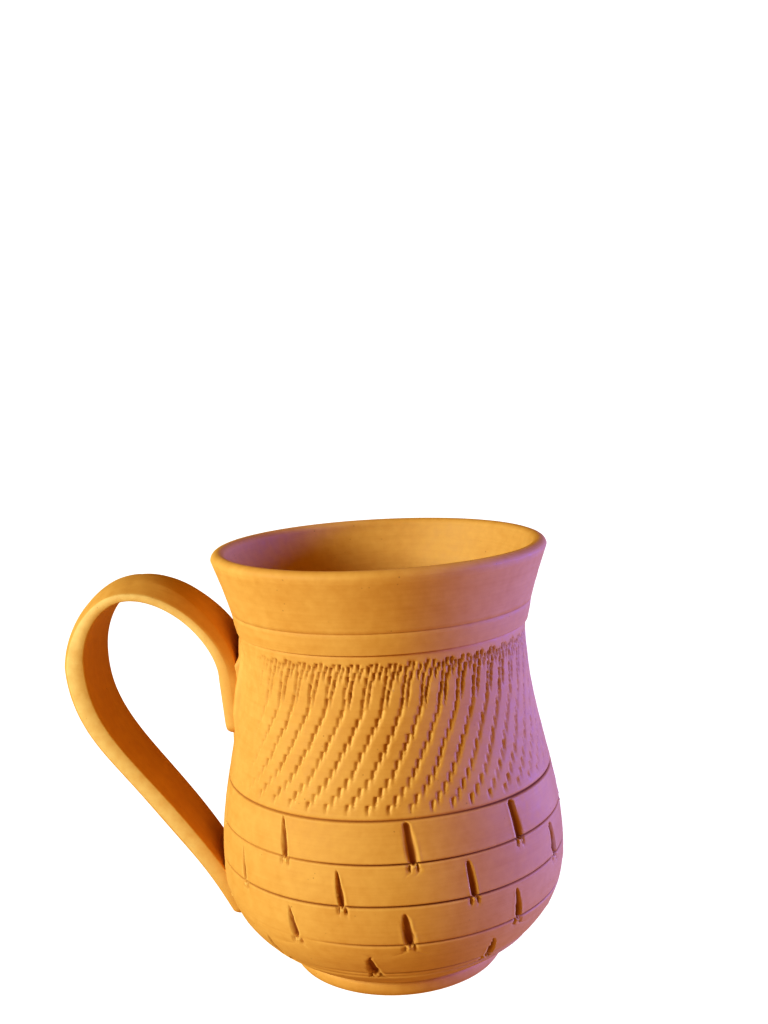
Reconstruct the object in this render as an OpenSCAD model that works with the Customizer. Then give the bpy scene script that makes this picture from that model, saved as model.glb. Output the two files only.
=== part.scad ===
// Wheel-thrown terracotta mug with carved brick courses and a pulled strap handle.
// Millimetres. The pot turns about Z, stands on z = 0, and the handle points along -X.

/* [Pot] */
// Height from the table to the top of the lip
height = 110; // [104:1:125]
// Outer radius of the foot disc
foot_r = 28.2; // [26.5:0.1:31]
// Height of the foot disc
foot_h = 4.2; // [3:0.1:5]
// Rounding of the foot's lower edge
foot_round = 1.8; // [0.6:0.1:2.4]
// Outer radius where the bowl springs from the foot
neck_r = 27.9; // [26:0.1:30]
// Outer radius at the belly
belly_r = 44.9; // [42:0.1:50]
// Height of the belly
belly_z = 31; // [28:0.5:36]
// Outer radius at the waist
waist_r = 37.3; // [34:0.1:40]
// Height of the waist
waist_z = 83; // [78:0.5:88]
// Outer radius of the rim
rim_r = 43.2; // [41:0.1:48]
// Outward slope of the bowl at the foot, run over rise
bowl_slope = 1.74; // [1.4:0.02:2.0]
// Outward slope of the wall at the rim, run over rise
rim_slope = 0.35; // [0.2:0.01:0.5]
// Thickness of the wall
wall_t = 4.5; // [3.5:0.1:6]
// Thickness of the lip
lip_t = 3.8; // [3:0.1:5]
// Thickness of the floor
floor_t = 7.5; // [6:0.1:9]
// Radius of the flat of the floor inside
floor_flat_r = 16; // [10:0.5:20]

/* [Carving] */
// Number of brick courses round the bowl
courses = 4; // [2:1:4]
// Height of one brick course
course_h = 9.9; // [8.5:0.1:10.5]
// Height of the lowest ring line
first_ring_z = 11.9; // [10.5:0.1:13]
// Width of a ring line
ring_w = 1.2; // [0.6:0.1:1.8]
// Depth of a ring line
ring_d = 0.9; // [0.3:0.1:1.4]
// Bricks in one course
bricks = 9; // [5:1:12]
// Turn of the lowest course's upright nicks from +X, in degrees
brick_turn = 18.5; // [0:0.5:45]
// Height of an upright nick between two bricks
nick_h = 8.8; // [6:0.1:9.6]
// Width of a nick at its lower end
nick_w = 3; // [2:0.1:3.6]
// Depth of a nick at its lower end
nick_d = 1.4; // [0.8:0.1:1.8]
// How far a nick runs past the ring line below it
nick_over = 0.4; // [0.2:0.1:0.8]
// Sideways lean of a nick, in degrees
nick_lean = 6; // [-10:1:10]
// Height of the collar's lower edge
collar_z = 89.3; // [87:0.1:92]
// Step from the collar down to the tooled band
collar_drop = 0.5; // [0.2:0.1:0.8]
// Height over which that step fades into the wall
collar_fade = 9; // [4:0.5:12]
// Height of the fine line in the collar
collar_line_z = 94.5; // [93.5:0.1:98]
// Width of a fine line
line_w = 0.8; // [0.4:0.1:1.2]
// Depth of a fine line
line_d = 0.35; // [0.2:0.05:0.6]

/* [Handle] */
// Farthest reach of the strap from the pot's axis
handle_reach = 82.6; // [74:0.1:90]
// Height at which the strap reaches farthest
reach_z = 81.5; // [76:0.5:86]
// Height of the top of the strap's arch
arch_top_z = 103.2; // [100:0.1:108]
// Distance of the arch's top from the pot's axis
arch_x = 63.5; // [58:0.5:68]
// Height of the upper end's lower edge
tab_low_z = 62.6; // [58:0.1:66]
// Height at which the strap bends away from the wall
tab_top_z = 77; // [73:0.1:80]
// Thickness of clay left along the strap's edges at that bend
tab_t = 3; // [2:0.1:4]
// Bow of the upper end's face, which follows the round wall
tab_bow = 1.8; // [0:0.1:3]
// Corner radius of the upper end
tab_round = 3; // [1:0.1:6]
// Height of the tail's end on the bowl
tail_z = 15.2; // [14.5:0.1:20]
// Corner radius of the tail's end
tail_round = 5; // [2:0.1:6]
// Width of the strap at its upper end
strap_w_tab = 21.6; // [16:0.1:24]
// Width of the strap at the top of the arch
strap_w_arch = 22.6; // [16:0.1:26]
// Width of the strap where it reaches farthest
strap_w_limb = 21.4; // [14:0.1:24]
// Width of the strap at its tail
strap_w_tail = 14.6; // [10:0.1:20]
// Thickness of the strap at the top of the arch
strap_t_arch = 4.6; // [3.5:0.1:6]
// Thickness of the strap where it reaches farthest
strap_t_limb = 6; // [4:0.1:7.5]
// Thickness of the strap at its tail
strap_t_tail = 4.6; // [3.5:0.1:6]
// Width of the rounded shoulder along each outer edge
shoulder_w = 4.2; // [2:0.1:5]
// Rounding of the strap's inner edges
edge_round = 0.6; // [0.2:0.1:1.2]

/* [Slip] */
// Thickness of the slip that lutes the strap to the wall
slip_t = 0.8; // [0.4:0.1:1.4]
// Width of the slip that is squeezed out round a joint
slip_bead = 1.2; // [0.6:0.1:2]
// Corner radius of a slip pad
slip_round = 3; // [1:0.1:4]

/* [Hidden] */

clay = [0.85, 0.55, 0.24];
slip_clay = [0.80, 0.50, 0.22];

// Fineness of turned faces, longest step along a turned profile, and overrun of cuts
$fn = 96;
profile_pitch = 3.4;
overrun = 1;

// Steps along an arc and along each span of the strap
arc_steps = 6;
span_steps = [6, 12, 12, 22];
face_steps = 4;

// Height of the lip's centre, and of the ring lines
rim_z = height - lip_t / 2;
ring_zs = [for (i = [0 : courses]) first_ring_z + i * course_h];

// Inside of the bowl: how far its curve runs along the floor and up the wall
bowl_run_share = 0.66;
bowl_rise_share = 0.55;

// Upright side of the strap as a share of its thickness
side_share = 0.5;
// Depth of the tail's end below the wall, and of the upper end's back
tail_sink = 2.1;
tab_sink = 1;
// Distance of the tip of a nick's cone outside the wall, besides the bulge of the wall below it
nick_tip_out = 0.35;
// Handles of the curves along the strap's inner face
rise_lead = 10;
arch_lead_in = 10;
arch_lead_out = 7.2;
reach_lead_in = 9.5;
limb_lead = 22.6;
tail_lead_out = 19.8;
tail_lead_up = 38.4;

// Cubic from radius r0 with slope s0 to radius r1 with slope s1, over heights z0 to z1
function blend(z, z0, r0, s0, z1, r1, s1) =
    let (d = z1 - z0, t = (z - z0) / d)
    r0 * (2 * pow(t, 3) - 3 * pow(t, 2) + 1) + s0 * d * (pow(t, 3) - 2 * pow(t, 2) + t)
    + r1 * (3 * pow(t, 2) - 2 * pow(t, 3)) + s1 * d * (pow(t, 3) - pow(t, 2));

// Outer radius of the thrown wall before it is carved: foot to belly to waist to rim
function wall_r(z) =
    z < belly_z ? blend(z, foot_h, neck_r, bowl_slope, belly_z, belly_r, 0)
    : z < waist_z ? blend(z, belly_z, belly_r, 0, waist_z, waist_r, 0)
    : blend(z, waist_z, waist_r, 0, rim_z, rim_r, rim_slope);

// Outer radius of the slip on the wall, where the strap sits
function seat_r(z) = wall_r(z) + slip_t;

// Thickness of the wall, which thins from the waist to the lip
function thickness(z) =
    z < waist_z ? wall_t : wall_t + (lip_t - wall_t) * (z - waist_z) / (rim_z - waist_z);

// Depth of a V-shaped line of width w and depth d, drawn at height zc
function line_cut(z, zc, w, d) = d * max(0, 1 - 2 * abs(z - zc) / w);

// Depth of all carved lines at a height, and of the fade up to the collar
function rings_cut(z) = max([for (zc = ring_zs) line_cut(z, zc, ring_w, ring_d)]);
function fade_cut(z) = collar_drop * max(0, 1 - (collar_z - z) / collar_fade);

// Heights from the first break to the last, with the spaces between breaks cut into even steps
function samples(breaks) = concat(
    [for (i = [0 : len(breaks) - 2])
        let (d = breaks[i + 1] - breaks[i], n = max(1, ceil(d / profile_pitch)))
        for (k = [0 : n - 1]) breaks[i] + d * k / n],
    [breaks[len(breaks) - 1]]);

function bezier(p, t) =
    pow(1 - t, 3) * p[0] + 3 * t * pow(1 - t, 2) * p[1]
    + 3 * pow(t, 2) * (1 - t) * p[2] + pow(t, 3) * p[3];
function bezier_slope(p, t) =
    3 * pow(1 - t, 2) * (p[1] - p[0]) + 6 * t * (1 - t) * (p[2] - p[1])
    + 3 * pow(t, 2) * (p[3] - p[2]);
function arc(c, r, from, to) = [for (i = [0 : arc_steps])
    let (a = from + (to - from) * i / arc_steps) c + r * [cos(a), sin(a)]];

// Outside of the pot from the foot to the lip, as radius and height
foot_points = concat(
    [[0, 0]],
    arc([foot_r - foot_round, foot_round], foot_round, -90, 0),
    [[foot_r, foot_h - line_w / 2], [neck_r - line_d, foot_h]]);
bowl_breaks = concat(
    [foot_h + line_w / 2],
    [for (zc = ring_zs) each [zc - ring_w / 2, zc, zc + ring_w / 2]],
    [collar_z - collar_fade, collar_z]);
collar_breaks = [collar_z, collar_line_z - line_w / 2, collar_line_z,
    collar_line_z + line_w / 2, rim_z];
outer_points = concat(
    foot_points,
    [for (z = samples(bowl_breaks)) [wall_r(z) - rings_cut(z) - fade_cut(z), z]],
    [for (z = samples(collar_breaks)) [wall_r(z) - line_cut(z, collar_line_z, line_w, line_d), z]]);

// Lip, then the inside from the lip to the floor
lip_points = arc([rim_r - lip_t / 2, rim_z], lip_t / 2, 0, 180);
hollow_r = belly_r - wall_t;
floor_curve = [
    [hollow_r, belly_z],
    [hollow_r, belly_z - bowl_rise_share * (belly_z - floor_t)],
    [floor_flat_r + bowl_run_share * (hollow_r - floor_flat_r), floor_t],
    [floor_flat_r, floor_t]];
hollow_zs = samples([belly_z, waist_z, rim_z]);
inner_points = concat(
    [for (i = [len(hollow_zs) - 2 : -1 : 1]) let (z = hollow_zs[i]) [wall_r(z) - thickness(z), z]],
    [for (i = [0 : 2 * arc_steps]) bezier(floor_curve, i / (2 * arc_steps))],
    [[0, floor_t]]);

// Inner face of the strap, as distance from the axis and height: tab, rise, fall and limb
tab_x = seat_r(tab_top_z) + tab_t;
arch_z = arch_top_z - strap_t_arch;
reach_x = handle_reach - strap_t_limb;
tab_t_back = tab_t + slip_t + tab_sink;
tab_low = [tab_x, tab_low_z];
tab_top = [tab_x, tab_top_z];
arch_point = [arch_x, arch_z];
reach_point = [reach_x, reach_z];
tail_point = [wall_r(tail_z) - tail_sink, tail_z];
strap_spans = [
    [tab_low, (2 * tab_low + tab_top) / 3, (tab_low + 2 * tab_top) / 3, tab_top],
    [tab_top, tab_top + [0, rise_lead], arch_point - [arch_lead_in, 0], arch_point],
    [arch_point, arch_point + [arch_lead_out, 0], reach_point + [0, reach_lead_in], reach_point],
    [reach_point, reach_point - [0, limb_lead], tail_point + [tail_lead_out, tail_lead_up], tail_point]];

// Width, thickness, shoulder and bow of the strap at the ends of its spans
strap_ws = [strap_w_tab, strap_w_tab, strap_w_arch, strap_w_limb, strap_w_tail];
strap_ts = [tab_t_back, tab_t_back, strap_t_arch, strap_t_limb, strap_t_tail];
shoulder_ws = [edge_round, edge_round, shoulder_w, shoulder_w, shoulder_w];
bows = [tab_bow, tab_bow, 0, 0, 0];

// Narrowing of one side of the strap at a distance from an end with corner radius r
function corner(d, r) = d < r ? r - sqrt(pow(r, 2) - pow(r - d, 2)) : 0;
function mix(values, span, t) = values[span] + (values[span + 1] - values[span]) * t;

// One station of the strap: point on its inner face, outward direction, then width, thickness,
// shoulder and bow
function station(span, t) =
    let (p = strap_spans[span], d = bezier_slope(p, t), u = d / norm(d), q = bezier(p, t),
        inset = corner(norm(q - tab_low), tab_round) + corner(norm(q - tail_point), tail_round))
    [q, [-u[1], u[0]], mix(strap_ws, span, t) - 2 * inset, mix(strap_ts, span, t),
        mix(shoulder_ws, span, t), mix(bows, span, t)];

// Stations lie closer together towards the strap's two ends
function spaced(span, s) =
    span == 0 ? 1 - cos(90 * s) : span == len(strap_spans) - 1 ? sin(90 * s) : s;
strap_stations = concat(
    [station(0, 0)],
    [for (span = [0 : len(strap_spans) - 1], i = [1 : span_steps[span]])
        station(span, spaced(span, i / span_steps[span]))]);

// Section of the strap: inner face, upright sides, rounded shoulders and a flat outer face
function half_section(w, t, shoulder, bow) = concat(
    [for (i = [0 : face_steps])
        let (y = (w / 2 - edge_round) * i / face_steps) [y, -bow * (1 - pow(2 * y / w, 2))]],
    [for (i = [0 : arc_steps])
        let (a = 90 * i / arc_steps, low = max(edge_round, side_share * t))
        [w / 2 - min(shoulder, w / 2 - edge_round) * (1 - cos(a)), low + (t - low) * sin(a)]]);
function section(s) =
    let (half = half_section(s[2], s[3], s[4], s[5]), n = len(half))
    concat(half, [for (i = [n - 1 : -1 : 1]) [-half[i][0], half[i][1]]]);
function placed(s) = [for (q = section(s))
    let (p = s[0] + q[1] * s[1]) [-p[0], q[0], p[1]]];

// Highest points at which the strap's back and its tail still lie in the slip
back_zs = [for (s = strap_stations) let (p = s[0] + s[3] * s[1])
    if (p[1] > tab_low_z && p[1] < rim_z && p[0] < seat_r(p[1])) p[1]];
tail_zs = [for (s = strap_stations) let (p = s[0])
    if (p[1] < tab_low_z && p[0] < seat_r(p[1])) p[1]];

// Half of the angle that the tail's slip takes up on the bowl
tail_half_angle = asin((strap_w_tail / 2 + 2 * slip_bead) / wall_r(tail_z));

// Solid inside the outer skin of the pot
module filled_pot() {
    rotate_extrude() polygon(concat(outer_points, lip_points, [[0, rim_z + lip_t / 2]]));
}

// Solid inside the face on which the strap sits
module seat_solid() {
    zs = samples([foot_h + line_w, belly_z, waist_z, collar_z]);
    rotate_extrude() polygon(concat(
        [[0, zs[0]]],
        [for (z = zs) [seat_r(z), z]],
        [[0, zs[len(zs) - 1]]]));
}

// Cone that scoops one nick: deep and wide across the ring line, running out to a point above it
module nick(ring_z) {
    r = (pow(nick_w, 2) / 4 + pow(nick_d, 2)) / (2 * nick_d);
    rise = nick_h * (1 + nick_tip_out / nick_d);
    low_z = ring_z - ring_w / 2 - nick_over;
    low_x = wall_r(low_z) + r - nick_d;
    bulge = wall_r(low_z + rise / 2) - (wall_r(low_z) + wall_r(low_z + rise)) / 2;
    run = wall_r(low_z + rise) + bulge + nick_tip_out - low_x;
    translate([low_x, 0, low_z])
        rotate([0, atan2(run, rise), 0])
            rotate([nick_lean, 0, 0])
                cylinder(r1 = r, r2 = 0, h = norm([run, rise]));
}

// Nicks of one course, left out where the tail of the strap covers it
module nick_course(course) {
    z = ring_zs[course];
    covered = z < max(tail_zs);
    for (i = [0 : bricks - 1]) {
        a = brick_turn + (i + course / 2) * 360 / bricks;
        off = abs((a % 360 + 360) % 360 - 180);
        if (!covered || off > tail_half_angle) rotate(a) nick(z);
    }
}

// Outline of a slip pad seen along X, pushed through the handle's side of the wall
module pad_block(w, low_z, top_z) {
    r = min(slip_round, w / 2, (top_z - low_z) / 2);
    rotate([90, 0, -90]) linear_extrude(belly_r + slip_t + overrun) {
        translate([-w / 2, low_z + r]) square([w, top_z - low_z - 2 * r]);
        translate([r - w / 2, low_z]) square([w - 2 * r, top_z - low_z]);
        for (x = [r - w / 2, w / 2 - r], z = [low_z + r, top_z - r]) translate([x, z]) circle(r);
    }
}

module slip_pad(w, low_z, top_z) {
    intersection() {
        difference() {
            seat_solid();
            filled_pot();
        }
        pad_block(w, low_z, top_z);
    }
}

// Pot thrown and turned in one piece: foot, floor, bowl, collar and lip, with its carved bricks
module thrown_body() {
    color(clay) difference() {
        rotate_extrude() polygon(concat(outer_points, lip_points, inner_points));
        for (course = [0 : courses - 1]) nick_course(course);
    }
}

// Strap pulled from one roll of clay, lofted through its stations and cut to its seats
module strap_handle() {
    rings = [for (s = strap_stations) placed(s)];
    n = len(rings[0]);
    last = len(rings) - 1;
    // The two end faces start at a shoulder, so that no corner of theirs lies in line with the next two
    end = [for (i = [0 : n - 1]) (i + (n - 1) / 2) % n];
    color(clay) difference() {
        polyhedron(
            points = [for (ring = rings) each ring],
            faces = concat(
                [[for (i = [n - 1 : -1 : 0]) end[i]]],
                [for (k = [0 : last - 1], i = [0 : n - 1])
                    let (j = (i + 1) % n, a = k * n, b = a + n)
                    each [[a + i, b + j, b + i], [a + i, a + j, b + j]]],
                [[for (i = end) last * n + i]]));
        seat_solid();
    }
}

// Slip under the strap's upper end, below the collar
module upper_slip() {
    color(slip_clay)
        slip_pad(strap_w_tab + 2 * slip_bead, tab_low_z - slip_bead, max(back_zs) + slip_bead);
}

// Slip under the strap's tail, on the bowl
module lower_slip() {
    color(slip_clay)
        slip_pad(strap_w_tail + 2 * slip_bead, tail_z - 2 * slip_bead, max(tail_zs) + slip_bead);
}

thrown_body();
strap_handle();
upper_slip();
lower_slip();
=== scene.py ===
# %% [markdown]
# # A thrown clay mug with a strap handle
# The mug is unglazed red-yellow earthenware. It was thrown on a wheel, turned, carved with rings and
# nicks like courses of brick, tooled with rows of small scoops, and given a pulled strap handle.
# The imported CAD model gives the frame. Each of its four pieces is built again here with the marks
# that a hand and a tool leave, in metres and in the same place.

# %% Load the frame
import math

import bpy
import numpy as np
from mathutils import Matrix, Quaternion, Vector


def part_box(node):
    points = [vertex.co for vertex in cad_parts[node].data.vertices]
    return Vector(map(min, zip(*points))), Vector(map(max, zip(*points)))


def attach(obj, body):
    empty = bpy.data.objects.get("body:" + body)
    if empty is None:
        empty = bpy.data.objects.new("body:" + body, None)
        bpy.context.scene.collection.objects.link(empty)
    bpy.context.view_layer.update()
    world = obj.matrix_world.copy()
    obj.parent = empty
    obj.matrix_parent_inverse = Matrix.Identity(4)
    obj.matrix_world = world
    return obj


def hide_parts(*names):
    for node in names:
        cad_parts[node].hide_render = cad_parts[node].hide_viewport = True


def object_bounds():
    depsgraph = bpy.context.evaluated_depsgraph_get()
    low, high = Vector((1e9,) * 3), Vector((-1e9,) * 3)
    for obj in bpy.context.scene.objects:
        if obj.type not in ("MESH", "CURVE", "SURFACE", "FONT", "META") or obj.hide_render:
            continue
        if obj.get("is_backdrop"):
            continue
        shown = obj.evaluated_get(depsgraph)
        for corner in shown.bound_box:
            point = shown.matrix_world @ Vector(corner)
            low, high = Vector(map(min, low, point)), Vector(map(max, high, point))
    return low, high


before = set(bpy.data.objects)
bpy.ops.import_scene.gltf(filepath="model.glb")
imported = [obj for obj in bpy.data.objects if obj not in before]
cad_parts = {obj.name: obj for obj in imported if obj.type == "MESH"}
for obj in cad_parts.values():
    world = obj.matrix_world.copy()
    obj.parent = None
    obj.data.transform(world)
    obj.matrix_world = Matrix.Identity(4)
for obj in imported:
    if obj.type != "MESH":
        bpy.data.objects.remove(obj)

cad_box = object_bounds()
MM = 0.001
TURN = 2 * np.pi
body_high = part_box("thrown_body")[1]
print("nodes:", sorted(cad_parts), "height:", round(body_high.z / MM, 1), "mm")

# %% [markdown]
# ## The camera
# The picture looks slightly down on the mug from close by, with the handle on the left. A close
# camera shows more curve in the rings than a far one, so distance and lens both matter, and the
# small roll of a hand-held camera shows in the foot, which runs a little uphill.

# %% Set up the camera
CAMERA_PLACE = Vector((27.05, -309.2, 159.2)) * MM
CAMERA_AIM = Vector((1.9, 0.0, 117.4)) * MM
CAMERA_ROLL = math.radians(-2.93)
LENS_MM, SENSOR_MM, NEAREST = 42.95, 36, 10 * MM

camera = bpy.data.objects.new("camera", bpy.data.cameras.new("camera"))
camera.data.lens = LENS_MM
camera.data.sensor_width = SENSOR_MM
camera.data.clip_start = NEAREST
camera.location = CAMERA_PLACE
camera.rotation_mode = "QUATERNION"
sight = (CAMERA_AIM - CAMERA_PLACE).to_track_quat("-Z", "Y")
camera.rotation_quaternion = sight @ Quaternion((0, 0, 1), CAMERA_ROLL)
bpy.context.scene.collection.objects.link(camera)
bpy.context.scene.camera = camera
print("camera at", [round(c / MM) for c in camera.location], "mm")

# %% [markdown]
# ## From arrays to a mesh
# All pieces are closed skins made of rings of points. A ring goes once round the piece, the next
# ring follows it, and triangles join the two. Where two neighbouring rings have different counts,
# the walk between them steps each time on the ring whose next point comes first, as a zip does.
# Blender's own bridge tool could join rings too, but whole arrays are faster and always the same.

# %% Join rings of points
def grid_faces(first, rows, columns):
    """Two triangles for each cell of a closed grid: row i, column j to row i+1, column j+1."""
    i, j = np.meshgrid(np.arange(rows - 1), np.arange(columns), indexing="ij")
    a = first + i * columns + j
    b = first + i * columns + (j + 1) % columns
    c, d = b + columns, a + columns
    return np.concatenate([np.stack([a, b, d], -1), np.stack([b, c, d], -1)]).reshape(-1, 3)


def zip_faces(first_a, count_a, first_b, count_b):
    """Triangles between two closed rings that start at the same angle: the walk takes the steps of
    both rings in the order of their angle, and each step makes one triangle."""
    steps = np.concatenate([np.arange(1, count_a + 1) / count_a, np.arange(1, count_b + 1) / count_b])
    on_a = np.argsort(steps, kind="stable") < count_a
    done_a, done_b = np.cumsum(on_a) - on_a, np.cumsum(~on_a) - ~on_a
    a, next_a = first_a + done_a % count_a, first_a + (done_a + 1) % count_a
    b, next_b = first_b + done_b % count_b, first_b + (done_b + 1) % count_b
    return np.stack([a, np.where(on_a, next_a, next_b), b], -1)


def fan_faces(pole, first, count, upward):
    """Triangles from one ring to a point in its middle."""
    j = np.arange(count)
    here, there = first + j, first + (j + 1) % count
    ring = (here, there) if upward else (there, here)
    return np.stack([np.full(count, pole), *ring], -1)


print("rings of 4 and 6 points zip up with", len(zip_faces(0, 4, 4, 6)), "triangles")


# %% Close a skin and make its mesh
def skin(zones, start=None, end=None):
    """Points and triangles of a closed skin from zones of rings, each rows by columns by 3, closed
    at both ends by the points start and end, or by the middles of the first and last ring."""
    start = zones[0][0].mean(0) if start is None else start
    end = zones[-1][-1].mean(0) if end is None else end
    points = np.concatenate([z.reshape(-1, 3) for z in zones] + [[start], [end]])
    firsts = np.cumsum([0] + [z.shape[0] * z.shape[1] for z in zones])
    faces = [grid_faces(f, *z.shape[:2]) for f, z in zip(firsts, zones)]
    for k in range(len(zones) - 1):
        last_row = firsts[k + 1] - zones[k].shape[1]
        faces.append(zip_faces(last_row, zones[k].shape[1], firsts[k + 1], zones[k + 1].shape[1]))
    faces.append(fan_faces(len(points) - 2, 0, zones[0].shape[1], False))
    last = zones[-1].shape[1]
    faces.append(fan_faces(len(points) - 1, firsts[-1] - last, last, True))
    return points, np.concatenate(faces)


def make_piece(name, points, faces, **marks):
    """A smooth-shaded object at the origin from points and triangles, with one float per point for
    each named mark."""
    mesh = bpy.data.meshes.new(name)
    mesh.vertices.add(len(points))
    mesh.vertices.foreach_set("co", points.astype(np.float32).ravel())
    mesh.loops.add(faces.size)
    mesh.loops.foreach_set("vertex_index", faces.astype(np.int32).ravel())
    mesh.polygons.add(len(faces))
    mesh.polygons.foreach_set("loop_start", np.arange(0, faces.size, 3, dtype=np.int32))
    mesh.polygons.foreach_set("use_smooth", np.ones(len(faces), bool))
    for mark, values in marks.items():
        mesh.attributes.new(mark, "FLOAT", "POINT").data.foreach_set("value", values.astype(np.float32))
    mesh.update(calc_edges=True)
    mesh.validate()
    piece = bpy.data.objects.new(name, mesh)
    bpy.context.scene.collection.objects.link(piece)
    print(name, len(points), "points", len(faces), "triangles")
    return piece


# %% [markdown]
# ## The thrown wall
# A potter's wall is one flowing line: out of the foot, round the belly, in to the waist and out to
# the rim. Three cubic stretches that share a slope where they meet give that line, and every mark
# is measured from it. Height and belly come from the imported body.

# %% Outer line of the wall
HEIGHT, BELLY_R = body_high.z, body_high.x
FOOT_R, FOOT_H = 28.2 * MM, 4.2 * MM
NECK_R, BOWL_SLOPE, BELLY_Z = 27.9 * MM, 1.74, 31 * MM
WAIST_R, WAIST_Z = 37.3 * MM, 83 * MM
RIM_R, RIM_SLOPE, LIP_T = 43.2 * MM, 0.35, 3.8 * MM
RIM_Z = HEIGHT - LIP_T / 2


def cubic(z, z0, r0, s0, z1, r1, s1):
    """Radius on the cubic that leaves (z0, r0) with slope s0 and reaches (z1, r1) with slope s1."""
    d = z1 - z0
    t = (z - z0) / d
    leaving = r0 * (2 * t**3 - 3 * t**2 + 1) + s0 * d * (t**3 - 2 * t**2 + t)
    return leaving + r1 * (3 * t**2 - 2 * t**3) + s1 * d * (t**3 - t**2)


def wall_radius(z):
    """Outer radius of the thrown wall at height z: foot to belly, belly to waist, waist to rim."""
    bowl = cubic(z, FOOT_H, NECK_R, BOWL_SLOPE, BELLY_Z, BELLY_R, 0)
    side = cubic(z, BELLY_Z, BELLY_R, 0, WAIST_Z, WAIST_R, 0)
    flare = cubic(z, WAIST_Z, WAIST_R, 0, RIM_Z, RIM_R, RIM_SLOPE)
    return np.where(z < BELLY_Z, bowl, np.where(z < WAIST_Z, side, flare))


def on_wall(angle, z, depth):
    """Points of the wall at an angle and a height, moved inwards along its normal by a depth."""
    step = 0.01 * MM
    slope = (wall_radius(z + step) - wall_radius(z - step)) / (2 * step)
    tilt = np.sqrt(1 + slope**2)
    r = wall_radius(z) - depth / tilt
    return np.stack([r * np.cos(angle), r * np.sin(angle), z + depth * slope / tilt], -1)


print("wall at waist:", round(float(wall_radius(np.array(WAIST_Z))) / MM, 2), "mm")

# %% [markdown]
# ## Marks of the hand
# No line drawn by hand on a turning pot is exact. A wander is a closed curve round the pot made of
# a few whole waves with seeded sizes. It bends ring lines, changes their depth and keeps repeated
# marks from looking stamped. A soft step fades a mark in or out over a named distance. Noise would
# do as well, but it doesn't close round the pot by itself.

# %% Helpers for marks
def wander(angle, key, highest=7):
    """A closed curve within -1 and 1: a sum of cosines of whole turns with seeded sizes."""
    draw = np.random.default_rng(key)
    size = draw.normal(size=highest) / np.sqrt(np.arange(1, highest + 1))
    start = draw.uniform(0, TURN, highest)
    waves = [s * np.cos(k * angle + a) for k, (s, a) in enumerate(zip(size, start), 1)]
    return sum(waves) / np.abs(size).sum()


def soft_step(x, low, high):
    """0 below low, 1 above high, and a smooth S between them."""
    t = np.clip((x - low) / (high - low), 0, 1)
    return t * t * (3 - 2 * t)


def turn_away(angle, centre):
    """Signed turn from a centre, between minus half a turn and half a turn."""
    return (angle - centre + np.pi) % TURN - np.pi


print("one wander:", np.round(wander(np.linspace(0, TURN, 5), 0), 2))

# %% [markdown]
# ## The carved brick courses
# Five ring lines are cut while the wheel turns, and short nicks between them make bricks. Each nick
# is pushed in with a knife. It is a leaf with a point at the top, a flat floor and steep sides, and
# the clay it drags down breaks off at the ring below in crumbs, with two thin cuts where the blade's
# edges ran on. All lines are fainter round the handle, the two lowest the most. Solid cutters could
# carve this, but depths below one wall simply add up as a relief and can be bent and torn.

# %% Ring lines
COURSE_H = 9.9 * MM
RING_ZS = 11.9 * MM + COURSE_H * np.arange(5)
RING_DEPTHS = np.array([0.75, 0.75, 0.75, 0.65, 0.8]) * MM
RING_HALVES = np.array([0.4, 0.36, 0.34, 0.3, 0.42]) * MM
RING_WANDER, RING_UNEVEN, UNEVEN_SEED = 0.15 * MM, 0.4, 20
# The share that each line loses round the handle, and how near the handle that is complete: 1 is
# straight under it, 0 a quarter of a turn away.
RING_FADES = (0.9, 0.95, 0.4, 0.4, 0.4)
RING_ENDS = (0.5, 0.45, 1, 1, 1)
RING_BANK, BANK_OFF, BANK_SPREAD = 0.035 * MM, 1.7, 0.5


def ring_lines(angle, z):
    """Depth of the ring lines: each is a V about a height that wanders, with a low raised bank on
    both sides of it, and fainter round the handle."""
    depth = np.zeros_like(z)
    for k, (ring_z, deep, half) in enumerate(zip(RING_ZS, RING_DEPTHS, RING_HALVES)):
        q = np.abs(z - ring_z - RING_WANDER * wander(angle, k)) / half
        near = soft_step(-np.cos(angle), 0, RING_ENDS[k])
        strength = (1 + RING_UNEVEN * wander(angle, UNEVEN_SEED + k)) * (1 - RING_FADES[k] * near)
        bank = RING_BANK * np.exp(-((q - BANK_OFF) / BANK_SPREAD) ** 2)
        depth += strength * (deep * np.clip(1 - q, 0, None) - bank)
    return depth


print("ring lines at", np.round(RING_ZS / MM, 1), "mm")

# %% Where the nicks are
BRICKS, BRICK_TURN = 9, math.radians(18.5)
NICK_HEIGHTS = np.array([6.0, 8.3, 8.9, 9.7]) * MM
NICK_WIDTHS = np.array([2.6, 3.0, 2.4, 2.6]) * MM
COURSE_TURNS = np.radians([9, 0, 0, 0])
# Each nick drifts from its even place by degrees, and has its own width and bluntness.
DRIFT_RANGE, SIZE_RANGE, BLUNT_RANGE, PLAN_SEED = (-2, 2), (0.7, 1.05), (0.1, 0.6), 5
NICK_FRONT = slice(4, 8)
NICK_DRIFTS = np.radians([[0, 0.1, -1.3, 1.1], [0, 3.2, 0, -2], [1.5, 0, 0.6, 0], [0.6, 2.2, 0, -1.9]])
NICK_SIZES = [[0.85, 1.2, 1.15, 1.05], [0.85, 0.85, 0.95, 0.75],
              [0.75, 0.85, 0.85, 1.3], [0.9, 0.9, 0.95, 0.9]]
NICK_BLUNTS = [[0.3, 0.2, 0.3, 0.3], [0.3, 0.1, 0.35, 0.3],
               [0.1, 0.15, 0.5, 0.5], [0.1, 0.7, 0.7, 0.5]]


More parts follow.
